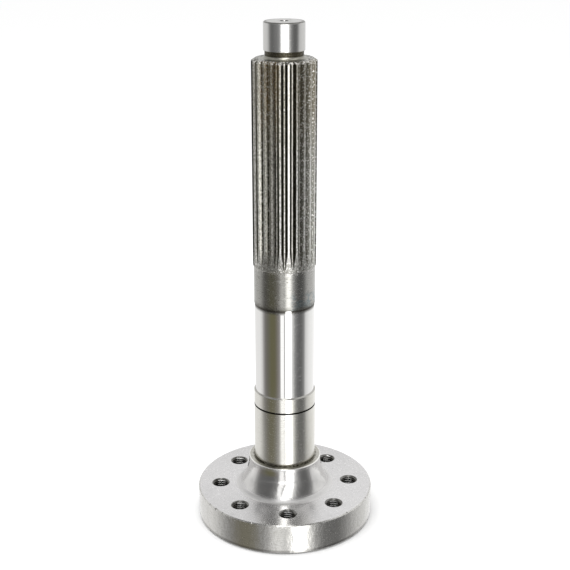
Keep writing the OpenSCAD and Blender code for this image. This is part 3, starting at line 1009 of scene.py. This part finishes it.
def wall_light(tree, degrees, up):
    """Shader of the walls: bands that lean on the left, grey above, with their own at eye level and below."""
    lean = math_node(tree, "MULTIPLY", ramp(tree, up, 0.0, 0.4), ramp(tree, degrees, -75, -35, -6, 7))
    walls = light_bands(tree, math_node(tree, "ADD", degrees, lean), WALL_BANDS, TURN_RANGE)
    grey = add_node(tree, "ShaderNodeRGBToBW", [(0, walls)]).outputs[0]
    walls = mix(tree, ramp(tree, up, *GREY_MEETS_COLOUR), grey, walls)
    start, full, fade, end = EYE_LEVEL
    eye_level = math_node(tree, "MULTIPLY", ramp(tree, up, start, full), ramp(tree, up, end, fade))
    walls = mix(tree, eye_level, walls, light_bands(tree, degrees, EYE_BANDS, TURN_RANGE))
    low = light_bands(tree, degrees, FLOOR_BANDS, TURN_RANGE)
    walls = mix(tree, ramp(tree, up, *FLOOR_MEETS_WALL), walls, low)
    behind = ramp(tree, math_node(tree, "ABSOLUTE", degrees), 85, 105)
    dim = ramp(tree, math_node(tree, "ABSOLUTE", up), 0.05, 0.32, 0.85, 1.0)
    level = math_node(tree, "MULTIPLY", BAND_PEAK, mix(tree, behind, 1.0, dim))
    return add_node(tree, "ShaderNodeEmission", [("Color", walls), ("Strength", level)]).outputs[0]


def overhead_light(tree, x, y, up):
    """Shader of what hangs overhead: bands in front and at the top, and an even light behind."""
    below = math_node(tree, "MULTIPLY", up, -1.0)
    level_out = math_node(tree, "SQRT", math_node(tree, "MULTIPLY_ADD", up, below, 1.0))
    opening = math_node(tree, "MULTIPLY_ADD", level_out, 0.55, 0.42)
    aside = math_node(tree, "DIVIDE", x, opening)
    front = light_bands(tree, aside, OVERHEAD_BANDS, ASIDE_RANGE)
    top = light_bands(tree, aside, TOP_BANDS, ASIDE_RANGE)
    bands = mix(tree, ramp(tree, up, *OVERHEAD_MEETS_TOP), front, top)
    front = add_node(tree, "ShaderNodeEmission", [("Color", bands), ("Strength", BAND_PEAK)]).outputs[0]
    even = ramp(tree, x, -0.45, 0.45, 0.92, 1.2)
    back = add_node(tree, "ShaderNodeEmission", [("Strength", even)]).outputs[0]
    meeting = ramp(tree, y, 0.3, 0.5)
    return add_node(tree, "ShaderNodeMixShader", [(0, meeting), (1, front), (2, back)]).outputs[0]


def make_tent():
    """Soft studio surround that only the gloss of the steel sees: walls, and what hangs overhead."""
    bm = bmesh.new()
    bmesh.ops.create_icosphere(bm, subdivisions=5, radius=TENT_R)
    tent = as_object("studio_tent", bm)
    material = bpy.data.materials.new("studio_tent")
    material.use_nodes = True
    tree = material.node_tree
    tree.nodes.clear()
    point = add_node(tree, "ShaderNodeTexCoord").outputs["Object"]
    aim = add_node(tree, "ShaderNodeVectorMath", [(0, point)], operation="NORMALIZE").outputs[0]
    x, y, up = add_node(tree, "ShaderNodeSeparateXYZ", [(0, aim)]).outputs
    turn = math_node(tree, "ARCTAN2", x, math_node(tree, "MULTIPLY", y, -1.0))
    walls = wall_light(tree, math_node(tree, "DEGREES", turn), up)
    overhead = overhead_light(tree, x, y, up)
    meeting = ramp(tree, up, *WALL_MEETS_OVERHEAD)
    shine = add_node(tree, "ShaderNodeMixShader", [(0, meeting), (1, walls), (2, overhead)])
    out = add_node(tree, "ShaderNodeOutputMaterial")
    tree.links.new(shine.outputs[0], out.inputs["Surface"])
    material.cycles.emission_sampling = "NONE"
    tent.data.materials.append(material)
    tent.visible_camera = False
    tent.visible_diffuse = False
    tent.visible_shadow = False
    tent.visible_transmission = False


def make_floor():
    """White floor that shows the shaft's soft shadow."""
    bm = bmesh.new()
    bmesh.ops.create_grid(bm, x_segments=1, y_segments=1, size=30.0)
    floor = as_object("floor", bm)
    material = bpy.data.materials.new("floor_white")
    material.use_nodes = True
    shader = material.node_tree.nodes["Principled BSDF"]
    shader.inputs["Base Color"].default_value = (0.98, 0.98, 0.98, 1)
    shader.inputs["Roughness"].default_value = 1.0
    shader.inputs["Specular IOR Level"].default_value = 0.0
    floor.data.materials.append(material)
    floor.visible_glossy = False


LAMP_PLACE = Vector((-0.3, -0.4, 1.9))
LAMP_AIM = Vector((0, 0, 0.1))


def make_light():
    """Even white surround, and one soft lamp above that draws the shadow in."""
    world = bpy.data.worlds.new("white_surround")
    world.use_nodes = True
    world.node_tree.nodes["Background"].inputs["Color"].default_value = (1, 1, 1, 1)
    world.node_tree.nodes["Background"].inputs["Strength"].default_value = 1.0
    bpy.context.scene.world = world
    lamp = bpy.data.lights.new("softbox", "AREA")
    lamp.shape = "DISK"
    lamp.size = 1.6
    lamp.energy = 14.0
    softbox = bpy.data.objects.new("softbox", lamp)
    softbox.location = LAMP_PLACE
    softbox.rotation_euler = (LAMP_AIM - LAMP_PLACE).to_track_quat("-Z", "Y").to_euler()
    softbox.visible_glossy = False
    bpy.context.scene.collection.objects.link(softbox)


# Camera fitted to the photograph: place in metres, angles in degrees, lens in millimetres
CAMERA_PLACE = (0.00034, -0.8601, 0.5056)
CAMERA_LOOKS_DOWN = 19.458
CAMERA_ROLL = -0.0755
CAMERA_LENS = 72.39
CAMERA_SENSOR = 36.0


def make_camera():
    """Camera at the photograph's angle, for a square picture."""
    lens = bpy.data.cameras.new("camera")
    lens.sensor_width = CAMERA_SENSOR
    lens.lens = CAMERA_LENS
    camera = bpy.data.objects.new("camera", lens)
    pitch = Matrix.Rotation(math.radians(90 - CAMERA_LOOKS_DOWN), 4, "X")
    roll = Matrix.Rotation(math.radians(CAMERA_ROLL), 4, "Z")
    camera.matrix_world = Matrix.Translation(CAMERA_PLACE) @ pitch @ roll
    bpy.context.scene.collection.objects.link(camera)
    bpy.context.scene.camera = camera


make_shaft()
make_tent()
make_floor()
make_light()
make_camera()
bpy.context.scene.view_settings.view_transform = "Standard"
